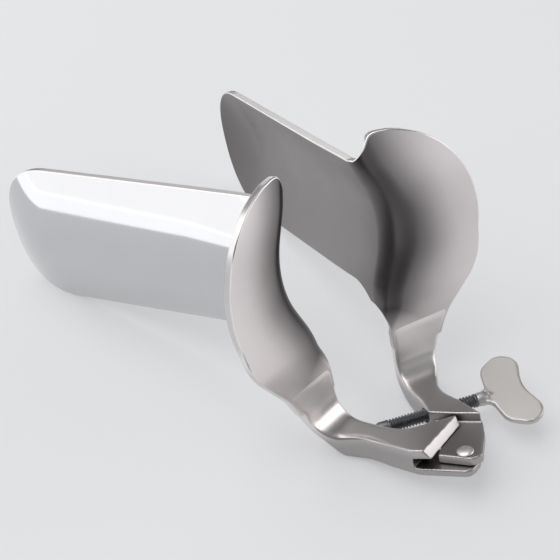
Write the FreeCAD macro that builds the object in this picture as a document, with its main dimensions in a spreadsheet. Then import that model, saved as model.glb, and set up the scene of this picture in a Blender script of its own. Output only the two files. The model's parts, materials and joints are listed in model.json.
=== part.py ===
import FreeCAD, Part
import Sketcher
import math
import os
from types import SimpleNamespace

# A two-bladed speculum with a side screw. Two mirror-image valves are hinged on a rivet. Each valve is
# a pressed blade with a flared lip, butt-welded at the neck to a forged arm. The right arm ends in a
# tongue that the forked jaw of the left arm holds. A thumbscrew runs in a threaded hole through the
# right arm and its swivel foot bears on the left arm, so turning it in spreads the blades.
#
# Every valve is drawn closed and as a right-hand one: X out of the mid-plane, Y towards the blade tips,
# Z up the hinge axis, origin on that axis at the underside of the jaws. Millimetres and degrees.

Vector = FreeCAD.Vector
doc = FreeCAD.newDocument("speculum")
sheet = doc.addObject("Spreadsheet::Sheet", "Sizes")

DIMENSIONS = {
    "blade_length": 100.0,          # mouth of the trough to the tip
    "mouth_reach": 46.0,            # hinge axis to the mouth, along the blade
    "blade_height": 47.9,           # centre line of the blade above the jaws' underside
    "mouth_half_width": 17.8,
    "tip_half_width": 20.0,
    "trough_depth": 5.5,
    "tip_run": 22.0,                # length of the rounded tip
    "rim_gap": 0.5,                 # rim to mid-plane when closed
    "sheet_wall": 2.0,
    "lip_front": 33.8,              # operator's face of the lip, from the hinge axis
    "lip_lean": 5.1,                # lip off the square, in degrees
    "lip_radius": 25.5,
    "lip_centre_out": 4.5,
    "flare_radius": 8.2,            # roll of the trough into the lip, at the centre line
    "flare_end_radius": 2.3,
    "flare_fade": 32.0,             # height over which the roll tightens
    "mouth_blend": 25.0,            # length over which the trough's section becomes the mouth's
    "neck_pull": 3.0,               # how far the neck is drawn towards the mid-plane
    "rim_start": 0.6,               # back of the lip to the rims of the trough
    "notch_radius": 5.0,
    "throat_radius": 14.0,
    "lip_centre_drop": 0.6,         # lip's centre below the blade's centre line
    "horn_out": 3.4,                # inner corner of the lip's upper end
    "horn_rise": 21.7,
    "crown_out": 5.2,               # round above the horn
    "crown_rise": 24.5,
    "horn_heel_out": 1.0,           # foot of the horn's inner edge
    "horn_heel_rise": 16.6,
    "inner_edge": 0.4,              # sheet cut back to this distance from the mid-plane
    "neck_taper": 6.0,              # height over which the neck's inner edge comes in from the seam
    "seam_height": 15.5,            # weld between blade and arm
    "seam_inner": 1.2,
    "seam_outer": 15.2,
    "arm_inner": 0.6,
    "arm_root_out": 7.2,
    "arm_waist_out": 7.0,
    "arm_waist_reach": 26.5,
    "arm_waist_radius": 12.0,
    "arm_flare_out": 16.4,
    "neck_foot_out": 9.2,           # outer edge of the neck low on the bend
    "neck_foot_height": 3.4,
    "bend_inner_radius": 6.0,
    "bend_outer_radius": 11.0,
    "lower_jaw": 1.8,
    "tongue": 2.2,
    "jaw_play": 0.1,
    "upper_jaw": 2.4,
    "slot_reach": 9.9,              # depth of the fork, from the hinge axis
    "slot_play": 0.3,               # arm behind the tongue to the end of the lower jaw
    "jaw_corner_out": 5.5,          # near corner of the upper jaw's cut end
    "jaw_corner_reach": 7.1,
    "jaw_far_out": 9.2,             # far corner, across the mid-plane
    "jaw_far_reach": 7.5,
    "jaw_knee_out": 4.3,
    "jaw_knee_reach": 11.6,
    "jaw_root_out": 0.4,
    "jaw_root_reach": 16.0,
    "jaw_cut_lean": 1.4,            # slope of the cut end, top edge behind bottom edge
    "jaw_end_radius": 3.0,
    "step_play": 0.28,              # closing stop: right arm's step behind the left jaw, each way
    "tongue_side_out": 7.3,
    "tongue_side_reach": 3.4,
    "tongue_toe_out": 2.6,
    "tongue_toe_reach": 3.2,
    "tongue_tail_out": 5.6,
    "tongue_tail_reach": 2.9,
    "rivet_shank": 2.6,
    "rivet_play": 0.04,
    "rivet_head": 4.0,
    "rivet_head_height": 0.8,
    "screw_diameter": 3.5,
    "screw_play": 0.05,
    "screw_angle": 10.2,            # screw axis off the square to the closed mid-plane
    "screw_reach": 20.0,            # hinge axis to the screw axis, on the mid-plane
    "thread_end": 13.5,             # mid-plane to the outer end of the thread, along the screw, at rest
    "foot_diameter": 3.4,
    "foot_skirt": 1.6,
    "foot_gap": 0.4,                # foot short of the left arm, along the screw, at rest
    "spigot_diameter": 1.8,
    "spigot_length": 1.4,
    "neck_diameter": 3.2,
    "neck_length": 7.0,
    "wing_thickness": 1.5,
    "wing_start": 0.7,              # end of the thread to the root of the wing
    "wing_stem": 1.9,
    "wing_stem_rise": 2.9,
    "wing_shoulder_out": 8.6,
    "wing_shoulder_rise": 3.9,
    "wing_half_span": 12.0,
    "wing_span_rise": 9.5,
    "wing_lobe_out": 9.0,
    "wing_lobe_rise": 14.6,
    "wing_lobe_radius": 4.0,
    "wing_dip": 3.0,
    "wing_dip_radius": 10.0,
    "wing_tilt": 17.0,
    "half_opening": 14.8,           # each valve from the mid-plane, at rest
}

for row, (alias, number) in enumerate(DIMENSIONS.items(), start=1):
    sheet.set("A%d" % row, alias)
    sheet.set("B%d" % row, str(number))
    sheet.setAlias("B%d" % row, alias)
doc.recompute()


class Size:
    """A length worked out from the sheet: its number now, and the expression that keeps it so."""

    def __init__(self, number, text):
        self.number = number
        self.text = text

    def joined(self, other, sign):
        other = other if isinstance(other, Size) else Size(float(other), repr(float(other)))
        numbers = {
            "+": self.number+other.number,
            "-": self.number-other.number,
            "*": self.number*other.number,
        }
        return Size(numbers[sign], "(%s %s %s)" % (self.text, sign, other.text))

    def __add__(self, other):
        return self.joined(other, "+")

    def __sub__(self, other):
        return self.joined(other, "-")

    def __mul__(self, other):
        return self.joined(other, "*")

    def __neg__(self):
        return self*-1


d = SimpleNamespace(**{alias: Size(sheet.get(alias), "Sizes."+alias) for alias in DIMENSIONS})
n = SimpleNamespace(**{alias: size.number for alias, size in vars(d).items()})
ZERO = d.lower_jaw*0

lip_back = d.lip_front+d.sheet_wall
tongue_bottom = d.lower_jaw+d.jaw_play
tongue_top = tongue_bottom+d.tongue
upper_jaw_bottom = tongue_top+d.jaw_play
arm_top = upper_jaw_bottom+d.upper_jaw
beyond = n.blade_length/2

TIP_POWER = 2.4
LIP_START, LIP_MIDDLE, LIP_END = -12.0, 35.0, 78.0

# The neck's outer edge, as shares of the way out and up from the seam to the start of the lip's round
NECK_EDGE = [(0.12, 0.13), (0.26, 0.25), (0.51, 0.41), (0.76, 0.58), (0.93, 0.77)]


# Sketching

def new_body(label):
    body = doc.addObject("PartDesign::Body", label)
    body.Label = label
    return body


def new_sketch(body, name, role, level=None):
    """A sketch on one of the body's own planes, or at a level above it along the plane's normal."""
    plane = next(f for f in body.Origin.OriginFeatures if f.Role == role)
    sketch = body.newObject("Sketcher::SketchObject", body.Label+"_"+name)
    sketch.AttachmentSupport = [(plane, "")]
    sketch.MapMode = "FlatFace"
    if level is not None:
        sketch.AttachmentOffset = FreeCAD.Placement(Vector(0, 0, level.number), FreeCAD.Rotation())
        sketch.setExpression("AttachmentOffset.Base.z", level.text)
    return sketch


def bind(sketch, kind, places, size):
    index = sketch.addConstraint(Sketcher.Constraint(kind, *places, size.number))
    sketch.setExpression("Constraints[%d]" % index, size.text)


def draw_outline(sketch, corners):
    """A closed outline of straight sides. A corner is (across, up) or (across, up, radius)."""
    points = [Vector(c[0].number, c[1].number, 0) for c in corners]
    count = len(corners)
    entries = []
    for i, corner in enumerate(corners):
        point, before, after = points[i], points[i-1], points[(i+1) % count]
        if len(corner) == 2:
            entries.append((point, point, None))
            continue
        back = (before-point).normalize()
        ahead = (after-point).normalize()
        half = back.getAngle(ahead)/2
        setback = corner[2].number/math.tan(half)
        centre = point+(back+ahead).normalize()*(corner[2].number/math.sin(half))
        turns_left = (point-before).cross(after-point).z > 0
        start, end = point+back*setback, point+ahead*setback
        first, last = (start, end) if turns_left else (end, start)
        circle = Part.Circle(centre, Vector(0, 0, 1), corner[2].number)
        angles = [math.atan2(q.y-centre.y, q.x-centre.x) for q in (first, last)]
        if angles[1] < angles[0]:
            angles[1] += 2*math.pi
        entries.append((start, end, (Part.ArcOfCircle(circle, *angles), turns_left)))
    sides = []
    for i in range(count):
        line = Part.LineSegment(entries[i][1], entries[(i+1) % count][0])
        sides.append(sketch.addGeometry(line, False))
    for i, corner in enumerate(corners):
        incoming, outgoing, arc = sides[i-1], sides[i], entries[i][2]
        if arc is None:
            sketch.addConstraint(Sketcher.Constraint("Coincident", incoming, 2, outgoing, 1))
            place = (outgoing, 1)
        else:
            curve = sketch.addGeometry(arc[0], False)
            start, end = (1, 2) if arc[1] else (2, 1)
            sketch.addConstraint(Sketcher.Constraint("Tangent", incoming, 2, curve, start))
            sketch.addConstraint(Sketcher.Constraint("Tangent", curve, end, outgoing, 1))
            bind(sketch, "Radius", (curve,), corner[2])
            mark = sketch.addGeometry(Part.Point(points[i]), True)
            sketch.addConstraint(Sketcher.Constraint("PointOnObject", mark, 1, incoming))
            sketch.addConstraint(Sketcher.Constraint("PointOnObject", mark, 1, outgoing))
            place = (mark, 1)
        bind(sketch, "DistanceX", (-1, 1)+place, corner[0])
        bind(sketch, "DistanceY", (-1, 1)+place, corner[1])


def draw_circle(sketch, across, up, diameter):
    centre = Vector(across.number, up.number, 0)
    circle = sketch.addGeometry(Part.Circle(centre, Vector(0, 0, 1), diameter.number/2), False)
    bind(sketch, "DistanceX", (-1, 1, circle, 3), across)
    bind(sketch, "DistanceY", (-1, 1, circle, 3), up)
    bind(sketch, "Diameter", (circle,), diameter)


def draw_frame(sketch):
    """A square far outside the piece, so that a pocket takes away all but the outline within it."""
    reach = d.blade_length
    draw_outline(sketch, [(-reach, -reach), (reach, -reach), (reach, reach), (-reach, reach)])


def pad(body, sketch, length, both_ways=False):
    feature = body.newObject("PartDesign::Pad", sketch.Name+"_pad")
    feature.Profile = sketch
    feature.SideType = "Symmetric" if both_ways else "One side"
    feature.Length = length.number
    feature.setExpression("Length", length.text)
    doc.recompute()
    return feature


def pocket(body, sketch, length=None, reverse=False, both_ways=False):
    """Cuts the sketch out of the body, and stops if that takes nothing away."""
    before = body.Shape.Volume
    feature = body.newObject("PartDesign::Pocket", sketch.Name+"_pocket")
    feature.Profile = sketch
    feature.SideType = "Symmetric" if both_ways else "One side"
    feature.Reversed = reverse
    if length is None:
        feature.Type = "ThroughAll"
    else:
        feature.Length = length.number
        feature.setExpression("Length", length.text)
    doc.recompute()
    if body.Shape.Volume > before*(1-1e-6):
        raise RuntimeError("%s cuts nothing" % feature.Name)
    return feature


def revolve(body, sketch):
    feature = body.newObject("PartDesign::Revolution", sketch.Name+"_turned")
    feature.Profile = sketch
    feature.ReferenceAxis = (sketch, ["V_Axis"])
    feature.Angle = 360
    doc.recompute()
    return feature


# Arms

def mirrored(corners, side):
    return [(corner[0]*side,)+tuple(corner[1:]) for corner in corners]


def arm_stem(body, side, start):
    """The bent bar from the jaws to the seam: side profile first, then its neck seen from the front."""
    profile = new_sketch(body, "side_profile", "YZ_Plane")
    draw_outline(profile, [
        (start, ZERO),
        (lip_back, ZERO, d.bend_outer_radius),
        (lip_back, d.seam_height),
        (d.lip_front, d.seam_height),
        (d.lip_front, arm_top, d.bend_inner_radius),
        (start, arm_top),
    ])
    pad(body, profile, d.arm_flare_out*2, both_ways=True)
    neck = new_sketch(body, "neck", "XZ_Plane", level=-d.arm_waist_reach)
    draw_frame(neck)
    draw_outline(neck, mirrored([
        (d.arm_inner, -d.lower_jaw),
        (d.neck_foot_out, -d.lower_jaw),
        (d.neck_foot_out, d.neck_foot_height, d.arm_waist_radius),
        (d.seam_outer, d.seam_height),
        (d.seam_outer, arm_top+d.seam_height),
        (d.seam_inner, arm_top+d.seam_height),
        (d.seam_inner, d.seam_height),
        (d.arm_inner, arm_top),
    ], side))
    pocket(body, neck)


def drill_rivet_hole(body):
    hole = new_sketch(body, "rivet_hole", "XY_Plane")
    draw_circle(hole, ZERO, ZERO, d.rivet_shank+d.rivet_play*2)
    pocket(body, hole, both_ways=True)


def left_arm():
    """Forked arm: a lower jaw under the tongue, and an upper jaw that crosses over it."""
    body = new_body("left_arm")
    arm_stem(body, -1, d.slot_reach)
    plan = new_sketch(body, "plan", "XY_Plane")
    draw_frame(plan)
    draw_outline(plan, mirrored([
        (d.arm_inner, d.slot_reach-d.jaw_play),
        (d.arm_root_out, d.slot_reach-d.jaw_play),
        (d.arm_waist_out, d.arm_waist_reach, d.arm_waist_radius),
        (d.arm_flare_out, lip_back+d.sheet_wall*0.5),
        (d.arm_flare_out, lip_back+d.sheet_wall),
        (d.arm_inner, lip_back+d.sheet_wall),
    ], -1))
    pocket(body, plan, both_ways=True)
    lower = new_sketch(body, "lower_jaw", "XY_Plane")
    draw_outline(lower, mirrored([
        (d.jaw_root_out, d.slot_reach+d.lower_jaw),
        (d.arm_root_out, d.slot_reach+d.lower_jaw),
        (d.arm_root_out, d.slot_reach-d.jaw_end_radius*0.5, d.jaw_end_radius*2),
        (d.jaw_end_radius*1.1, -d.jaw_end_radius, d.jaw_end_radius*0.8),
        (-d.jaw_end_radius, -d.jaw_end_radius, d.jaw_end_radius*0.9),
        (-d.jaw_end_radius, d.jaw_end_radius*1.4, d.jaw_end_radius),
    ], -1))
    pad(body, lower, d.lower_jaw)
    upper = new_sketch(body, "upper_jaw", "XY_Plane", level=upper_jaw_bottom)
    draw_outline(upper, mirrored([
        (d.jaw_corner_out, d.jaw_corner_reach-d.jaw_cut_lean),
        (d.arm_root_out, d.slot_reach-d.jaw_play),
        (d.arm_root_out, d.jaw_root_reach),
        (d.arm_inner+d.upper_jaw, d.jaw_root_reach+d.upper_jaw*2),
        (d.arm_inner, d.jaw_root_reach+d.upper_jaw*2),
        (d.jaw_root_out, d.jaw_root_reach, d.upper_jaw*2),
        (-d.jaw_knee_out, d.jaw_knee_reach, d.upper_jaw*2),
        (-d.jaw_far_out, d.jaw_far_reach),
        (-d.jaw_far_out+d.jaw_cut_lean*0.5, d.jaw_far_reach-d.jaw_cut_lean),
    ], -1))
    pad(body, upper, d.upper_jaw)
    bevel = new_sketch(body, "jaw_bevel", "YZ_Plane")
    draw_outline(bevel, [
        (d.jaw_corner_reach-d.jaw_cut_lean, upper_jaw_bottom),
        (d.jaw_far_reach, arm_top+d.jaw_play),
        (ZERO, arm_top+d.jaw_play),
        (ZERO, upper_jaw_bottom),
    ])
    pocket(body, bevel, both_ways=True)
    drill_rivet_hole(body)
    return body


def right_arm():
    """Arm with a half-height tongue. The step behind it stops the left jaw when the blades close."""
    body = new_body("right_arm")
    arm_stem(body, 1, d.jaw_far_reach)
    step = [
        (d.jaw_far_out+d.step_play, d.jaw_far_reach+d.step_play),
        (d.jaw_knee_out+d.step_play, d.jaw_knee_reach+d.step_play),
        (-d.jaw_root_out+d.step_play, d.jaw_root_reach+d.step_play),
    ]
    plan = new_sketch(body, "plan", "XY_Plane")
    draw_frame(plan)
    draw_outline(plan, [
        *step,
        (d.arm_inner, d.jaw_root_reach+d.upper_jaw*2),
        (d.arm_inner, lip_back+d.sheet_wall),
        (d.arm_flare_out, lip_back+d.sheet_wall),
        (d.arm_flare_out, lip_back+d.sheet_wall*0.5),
        (d.arm_waist_out, d.arm_waist_reach, d.arm_waist_radius),
    ])
    pocket(body, plan, both_ways=True)
    tongue = new_sketch(body, "tongue", "XY_Plane", level=tongue_bottom)
    draw_outline(tongue, [
        (-d.tongue_tail_out, d.tongue_tail_reach),
        (ZERO, -d.tongue_toe_reach, d.rivet_shank),
        (d.tongue_toe_out, -d.tongue_toe_reach, d.rivet_shank*0.5),
        (d.tongue_side_out, d.tongue_side_reach, d.rivet_shank*2),
        (d.jaw_far_out+d.step_play, d.jaw_far_reach+d.step_play),
        (d.arm_waist_out, d.jaw_root_reach),
        (d.arm_inner, d.jaw_root_reach+d.upper_jaw),
        (d.arm_inner, d.slot_reach-d.slot_play),
    ])
    pad(body, tongue, d.tongue)
    relief = new_sketch(body, "lower_relief", "XY_Plane")
    draw_outline(relief, [
        (-d.arm_flare_out, -d.arm_flare_out),
        (d.arm_flare_out, -d.arm_flare_out),
        (d.arm_flare_out, d.slot_reach+d.slot_play),
        (-d.arm_flare_out, d.slot_reach+d.slot_play),
    ])
    pocket(body, relief, length=tongue_bottom, reverse=True)
    drill_rivet_hole(body)
    bore = body.newObject("PartDesign::SubtractiveCylinder", "right_arm_screw_hole")
    bore.Radius = n.screw_diameter/2+n.screw_play
    bore.setExpression("Radius", (d.screw_diameter*0.5+d.screw_play).text)
    bore.Height = beyond*2
    bore.setExpression("Height", d.blade_length.text)
    bore.Placement = FreeCAD.Placement(SCREW_CENTRE-SCREW_AXIS*beyond, Z_TO_SCREW)
    doc.recompute()
    return body


# Blades

def half_width(y):
    """Half the height of the trough, from its mouth to where the tip begins to round."""
    run = n.blade_length-n.tip_run
    return n.mouth_half_width+(n.tip_half_width-n.mouth_half_width)*(y-n.mouth_reach)/run


def smooth(t):
    t = min(1.0, max(0.0, t))
    return t*t*(3-2*t)


def trough_depth_at(y, height, nearness):
    """How far the trough's inner face lies from the mid-plane. nearness is 1 at the mouth."""
    across = abs(height)/half_width(y)
    along = max(0.0, (y-(n.mouth_reach+n.blade_length-n.tip_run))/n.tip_run)
    spread = (across**TIP_POWER+along**TIP_POWER)**(1/TIP_POWER)
    if spread <= 1:
        bowl = n.trough_depth*(1-spread**2)
    else:
        bowl = -0.5*n.trough_depth*math.tanh(4*(spread-1))
    mouth = n.trough_depth*math.exp(-1.1*across**2-1.2*across**4)
    mouth -= n.neck_pull*smooth((-height-20)/10)
    return n.rim_gap+bowl+(mouth-bowl)*nearness


def inner_face_point(s, height):
    """s below 0 is mm along the trough, 0 to 1 is round the flare, above 1 is mm out on the lip."""
    roll = max(0.0, 1-(height/n.flare_fade)**2)
    radius = n.flare_end_radius+(n.flare_radius-n.flare_end_radius)*roll
    lean = math.radians(n.lip_lean)*smooth((height+30)/14)
    y_start = n.lip_front+radius
    if s <= 0:
        y = y_start-s
        return Vector(trough_depth_at(y, height, smooth(1+s/n.mouth_blend)), y, n.blade_height+height)
    turn = min(s, 1.0)*(math.pi/2-lean)
    x = trough_depth_at(y_start, height, 1.0)+radius*(1-math.cos(turn))
    y = y_start-radius*math.sin(turn)
    if s > 1:
        x += (s-1)*math.cos(lean)
        y -= (s-1)*math.sin(lean)
    return Vector(x, y, n.blade_height+height)


def outward(s, height):
    """Unit vector out of the inner face, through the metal."""
    step = 1e-3
    along = inner_face_point(s-step, height)-inner_face_point(s+step, height)
    up = inner_face_point(s, height+step)-inner_face_point(s, height-step)
    return along.cross(up).normalize()


def pressed_sheet():
    """The blade, flare and lip as one sheet of even wall, larger than the blade all round."""
    reach = n.mouth_reach+n.blade_length-n.lip_front+4
    trough = [-reach*k for k in (1, .94, .88, .82, .76, .68, .6, .5, .4, .3, .2, .12, .06, .025)]
    stations = trough+[0, .2, .4, .6, .8, 1, 2, 4, 8, 14, 20, 27, 34]
    low, high = n.seam_height-n.blade_height-2, n.lip_radius+3
    heights = [low+(high-low)*k/20 for k in range(21)]
    inner = [[inner_face_point(s, h) for h in heights] for s in stations]
    outer = [[inner_face_point(s, h)+outward(s, h)*n.sheet_wall for h in heights] for s in stations]
    faces = []
    for grid in (inner, outer):
        surface = Part.BSplineSurface()
        surface.interpolate(grid)
        faces.append(surface.toShape())
    walls = [Part.makeRuledSurface(a, b) for a, b in zip(faces[0].Edges, faces[1].Edges)]
    solid = Part.makeSolid(Part.makeShell(faces+walls))
    return solid if solid.Volume > 0 else solid.reversed()


def spline(points):
    curve = Part.BSplineCurve()
    curve.interpolate(points)
    return curve.toShape()


def line(a, b):
    return Part.LineSegment(a, b).toShape()


def arc(a, b, c):
    return Part.Arc(a, b, c).toShape()


def blade_side_outline():
    """What the sheet is trimmed to, seen square on to the trough: rims, round tip, notch and throat."""
    def at(y, z):
        return Vector(-beyond, y, z)

    tip_start = n.mouth_reach+n.blade_length-n.tip_run
    back = n.lip_front+n.sheet_wall+n.rim_start
    notch = back+n.notch_radius
    throat = back+n.throat_radius
    top = n.blade_height+half_width(notch)
    bottom = n.blade_height-half_width(throat)
    diagonal = math.sqrt(0.5)
    tip = []
    for k in range(-8, 9):
        angle = math.radians(90*k/8)
        along = abs(math.cos(angle))**(2/TIP_POWER)
        across = math.copysign(abs(math.sin(angle))**(2/TIP_POWER), angle)
        if abs(k) == 8:
            along = 0.0
        tip.append(at(tip_start+n.tip_run*along, n.blade_height+n.tip_half_width*across))
    below, above = n.seam_height-5, n.blade_height+n.lip_radius+5
    front = n.lip_front-10
    return Part.Wire([
        line(at(throat, bottom), tip[0]),
        spline(tip),
        line(tip[-1], at(notch, top)),
        arc(at(notch, top),
            at(notch-n.notch_radius*diagonal, top+n.notch_radius*(1-diagonal)),
            at(back, top+n.notch_radius)),
        line(at(back, top+n.notch_radius), at(back, above)),
        line(at(back, above), at(front, above)),
        line(at(front, above), at(front, below)),
        line(at(front, below), at(back, below)),
        line(at(back, below), at(back, bottom-n.throat_radius)),
        arc(at(back, bottom-n.throat_radius),
            at(throat-n.throat_radius*diagonal, bottom-n.throat_radius*(1-diagonal)),
            at(throat, bottom)),
    ])


def blade_front_outline():
    """What the lip is trimmed to, seen by the operator: a round that runs down into the neck."""
    centre_z = n.blade_height-n.lip_centre_drop

    def at(x, z):
        return Vector(x, 0, z)

    def on_lip(degrees):
        angle = math.radians(degrees)
        return at(n.lip_centre_out+n.lip_radius*math.cos(angle), centre_z+n.lip_radius*math.sin(angle))

    seam = at(n.seam_outer, n.seam_height)
    way = on_lip(LIP_START)-seam
    flank = [seam]+[seam+at(way.x*out, way.z*up) for out, up in NECK_EDGE]+[on_lip(LIP_START)]
    inner = [
        at(n.horn_out, n.blade_height+n.horn_rise),
        at(n.horn_heel_out, n.blade_height+n.horn_heel_rise),
        at(n.inner_edge, n.blade_height+n.horn_heel_rise-n.inner_edge),
        at(n.inner_edge, n.seam_height+n.neck_taper*2),
        at(n.seam_inner, n.seam_height+n.neck_taper),
        at(n.seam_inner, n.seam_height),
        seam,
    ]
    crown = at(n.crown_out, n.blade_height+n.crown_rise)
    round_lip = arc(on_lip(LIP_START), on_lip(LIP_MIDDLE), on_lip(LIP_END))
    sides = [line(a, b) for a, b in zip(inner, inner[1:])]
    return Part.Wire([spline(flank), round_lip, arc(on_lip(LIP_END), crown, inner[0])]+sides)


def blade_shape():
    sheet_metal = pressed_sheet()
    from_side = Part.Face(blade_side_outline()).extrude(Vector(2*n.blade_length, 0, 0))
    from_front = Part.Face(blade_front_outline()).extrude(Vector(0, 2*n.blade_length, 0))
    return sheet_metal.common(from_side).common(from_front).Solids[0]


def blade(label, shape):
    feature = doc.addObject("Part::Feature", label)
    feature.Label = label
    feature.Shape = shape
    return feature


# Rivet and screw

def turned_body(label, corners):
    body = new_body(label)
    sketch = new_sketch(body, "half_section", "XZ_Plane")
    draw_outline(sketch, corners)
    revolve(body, sketch)
    return body


def hinge_rivet():
    head_top = tongue_top+d.rivet_head_height
    return turned_body("hinge_rivet", [
        (ZERO, ZERO),
        (d.rivet_shank*0.5, ZERO),
        (d.rivet_shank*0.5, tongue_top),
        (d.rivet_head*0.5, tongue_top),
        (d.rivet_head*0.5, head_top, d.rivet_head_height*0.7),
        (ZERO, head_top),
    ])


def screw_spindle():
    """Threaded spindle: a spigot in the foot, the thread, and a slotted neck that takes the wing."""
    end = d.thread_end+d.neck_length
    body = turned_body("screw_spindle", [
        (ZERO, THREAD_START-d.spigot_length),
        (d.spigot_diameter*0.5, THREAD_START-d.spigot_length),
        (d.spigot_diameter*0.5, THREAD_START),
        (d.screw_diameter*0.5, THREAD_START),
        (d.screw_diameter*0.5, d.thread_end),
        (d.neck_diameter*0.5, d.thread_end),
        (d.neck_diameter*0.5, end, d.neck_diameter*0.3),
        (ZERO, end),
    ])
    slot = new_sketch(body, "wing_slot", "XZ_Plane")
    draw_outline(slot, [
        (-d.screw_diameter, d.thread_end+d.wing_start),
        (d.screw_diameter, d.thread_end+d.wing_start),
        (d.screw_diameter, end+d.screw_diameter),
        (-d.screw_diameter, end+d.screw_diameter),
    ])
    pocket(body, slot, length=d.wing_thickness, both_ways=True)
    return body


def wing_head():
    """Flat thumb piece with two rounded lobes, brazed into the slot of the spindle."""
    body = new_body("wing_head")
    sketch = new_sketch(body, "outline", "XZ_Plane")
    root = d.thread_end+d.wing_start
    half = [
        (d.wing_stem, root),
        (d.wing_stem, root+d.wing_stem_rise, d.wing_stem),
        (d.wing_shoulder_out, root+d.wing_shoulder_rise, d.wing_lobe_radius),
        (d.wing_half_span, root+d.wing_span_rise, d.wing_lobe_radius),
        (d.wing_lobe_out, root+d.wing_lobe_rise, d.wing_lobe_radius),
    ]
    middle = [(ZERO, root+d.wing_lobe_rise-d.wing_dip, d.wing_dip_radius)]
    draw_outline(sketch, half+middle+mirrored(half[::-1], -1))
    pad(body, sketch, d.wing_thickness, both_ways=True)
    return body


def swivel_foot():
    """Cap on the screw's spigot. It slides with the screw without turning, and its ball end pushes."""
    radius = d.foot_diameter*0.5
    skirt_end = FOOT_CENTRE+d.foot_skirt
    return turned_body("swivel_foot", [
        (ZERO, FOOT_CENTRE-radius),
        (radius, FOOT_CENTRE-radius, radius*0.999),
        (radius, skirt_end),
        (d.spigot_diameter*0.5+d.screw_play, skirt_end),
        (d.spigot_diameter*0.5+d.screw_play, skirt_end-d.spigot_length-d.screw_play),
        (ZERO, skirt_end-d.spigot_length-d.screw_play),
    ])


# Where the pieces go

def tip_low_point(tilt, opening):
    """Lowest height that a tilted open blade reaches at its rounded tip."""
    tip_start = n.mouth_reach+n.blade_length-n.tip_run
    heights = []
    for k in range(200):
        along = k/200
        across = (1-along**TIP_POWER)**(1/TIP_POWER)
        y = tip_start+n.tip_run*along
        z = n.blade_height-n.tip_half_width*across
        heights.append(z*math.cos(tilt)-(y*math.cos(opening)-n.rim_gap*math.sin(opening))*math.sin(tilt))
    return min(heights)


def bend_low_point(tilt, opening):
    """Lowest height of the round under the arm's bend, at its inner edge."""
    y = n.lip_front+n.sheet_wall-n.bend_outer_radius
    lean = math.hypot(math.cos(tilt), math.cos(opening)*math.sin(tilt))
    centre = n.bend_outer_radius*math.cos(tilt)-y*math.cos(opening)*math.sin(tilt)
    return centre-n.bend_outer_radius*lean+n.arm_inner*math.sin(opening)*math.sin(tilt)


def resting_tilt(opening):
    """Angle at which the bends of the arms and the corners of the tips stand on one plane."""
    low, high = 0.0, math.radians(45)
    for _ in range(60):
        middle = (low+high)/2
        if tip_low_point(middle, opening) > bend_low_point(middle, opening):
            low = middle
        else:
            high = middle
    return low


opening = math.radians(n.half_opening)
across_screw = math.radians(n.screw_angle)
SCREW_AXIS = Vector(math.cos(across_screw), -math.sin(across_screw), 0)
SCREW_CENTRE = Vector(0, n.screw_reach, arm_top.number/2)
Z_TO_SCREW = FreeCAD.Rotation(Vector(0, 0, 1), SCREW_AXIS)
touch = n.arm_inner-n.foot_diameter/2+n.screw_reach*math.sin(2*opening)
touch = touch/math.cos(across_screw+2*opening)
FOOT_CENTRE = Size(n.foot_gap-touch, repr(n.foot_gap-touch))
THREAD_START = FOOT_CENTRE+d.foot_skirt

tilt = resting_tilt(opening)
stand = FreeCAD.Rotation(Vector(1, 0, 0), -math.degrees(tilt))
lift = -bend_low_point(tilt, opening)

level = Vector(0, 0, 1)
wing_tilt = math.radians(n.wing_tilt)
across = level.cross(SCREW_AXIS).normalize()
span = across*math.cos(wing_tilt)+level*math.sin(wing_tilt)
screw_rotation = FreeCAD.Rotation(span, SCREW_AXIS.cross(span), SCREW_AXIS, "ZXY")
on_screw = FreeCAD.Placement(SCREW_CENTRE, screw_rotation)

right_shape = blade_shape()
left_shape = right_shape.mirror(Vector(), Vector(1, 0, 0))
right_pieces = [blade("right_blade", right_shape), right_arm(), hinge_rivet()]
left_pieces = [blade("left_blade", left_shape), left_arm()]
screw_pieces = [screw_spindle(), wing_head(), swivel_foot()]

swing_right = FreeCAD.Rotation(Vector(0, 0, 1), -n.half_opening)
swing_left = FreeCAD.Rotation(Vector(0, 0, 1), n.half_opening)
right_valve = FreeCAD.Placement(Vector(0, 0, lift), stand)*FreeCAD.Placement(Vector(), swing_right)
left_valve = FreeCAD.Placement(Vector(0, 0, lift), stand)*FreeCAD.Placement(Vector(), swing_left)
for piece in right_pieces:
    piece.Placement = right_valve
for piece in left_pieces:
    piece.Placement = left_valve
for piece in screw_pieces:
    piece.Placement = right_valve*on_screw
doc.recompute()

# The origin is under the middle of the whole speculum, on the surface that it stands on.
pieces = right_pieces+left_pieces+screw_pieces
boxes = [piece.Shape.optimalBoundingBox() for piece in pieces]
middle_y = (min(box.YMin for box in boxes)+max(box.YMax for box in boxes))/2
for piece in pieces:
    piece.Placement = FreeCAD.Placement(Vector(0, -middle_y, 0), FreeCAD.Rotation())*piece.Placement
doc.recompute()

for item in doc.Objects:
    if any(state in ("Invalid", "Error") for state in item.State):
        raise RuntimeError("%s did not build: %s" % (item.Label, item.State))
for piece in pieces:
    if piece.Shape.isNull() or not piece.Shape.isValid():
        raise RuntimeError("%s has no valid shape" % piece.Label)

os.makedirs("parts", exist_ok=True)
for piece in pieces:
    piece.Shape.exportStep(os.path.join("parts", piece.Label+".step"))
    box = piece.Shape.optimalBoundingBox()
    print("%-14s %8.1f mm3, %d solid, z from %.2f" % (
        piece.Label, piece.Shape.Volume, len(piece.Shape.Solids), box.ZMin))
print("tilt %.3f, hinge at y %.3f z %.3f" % (math.degrees(tilt), -middle_y, lift))
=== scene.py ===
import json
import math

import bmesh
import bpy
import numpy as np
from mathutils import Matrix, Vector
from mathutils.geometry import delaunay_2d_cdt


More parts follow.
